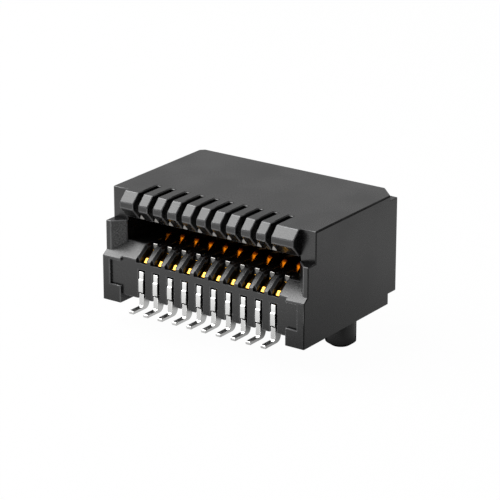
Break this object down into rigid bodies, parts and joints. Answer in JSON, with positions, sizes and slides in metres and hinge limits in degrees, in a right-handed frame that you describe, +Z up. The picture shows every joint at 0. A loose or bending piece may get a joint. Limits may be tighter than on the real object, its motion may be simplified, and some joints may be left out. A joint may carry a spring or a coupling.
{
  "type": "sfp card-edge connector",
  "caption": "Surface-mount card-edge connector that sits inside a transceiver cage: black moulded housing with a comb-topped card slot, upper and lower contact rows, and guide pegs below.",
  "frame": {"origin": "on the board, which is the plane of the solder feet, midway between the axes of the two guide pegs", "axes": "+X along the card slot, to the right seen from the mating face. +Y from the mating face to the rear. +Z up from the board."},
  "size_m": [0.011, 0.009, 0.0063],
  "materials": {
    "housing_plastic": "black glass-filled liquid crystal polymer, moulded, satin with a fine grain",
    "contact_metal": "blanked copper alloy strip: matt tin on the solder legs, gold on the tips and crowns that touch the card"
  },
  "bodies": {
    "root": {"housing": "housing_plastic", "lower_contact_01": "contact_metal", "lower_contact_02": "contact_metal", "lower_contact_03": "contact_metal", "lower_contact_04": "contact_metal", "lower_contact_05": "contact_metal", "lower_contact_06": "contact_metal", "lower_contact_07": "contact_metal", "lower_contact_08": "contact_metal", "lower_contact_09": "contact_metal", "lower_contact_10": "contact_metal", "upper_contact_01": "contact_metal", "upper_contact_02": "contact_metal", "upper_contact_03": "contact_metal", "upper_contact_04": "contact_metal", "upper_contact_05": "contact_metal", "upper_contact_06": "contact_metal", "upper_contact_07": "contact_metal", "upper_contact_08": "contact_metal", "upper_contact_09": "contact_metal", "upper_contact_10": "contact_metal"}
  },
  "joints": []
}
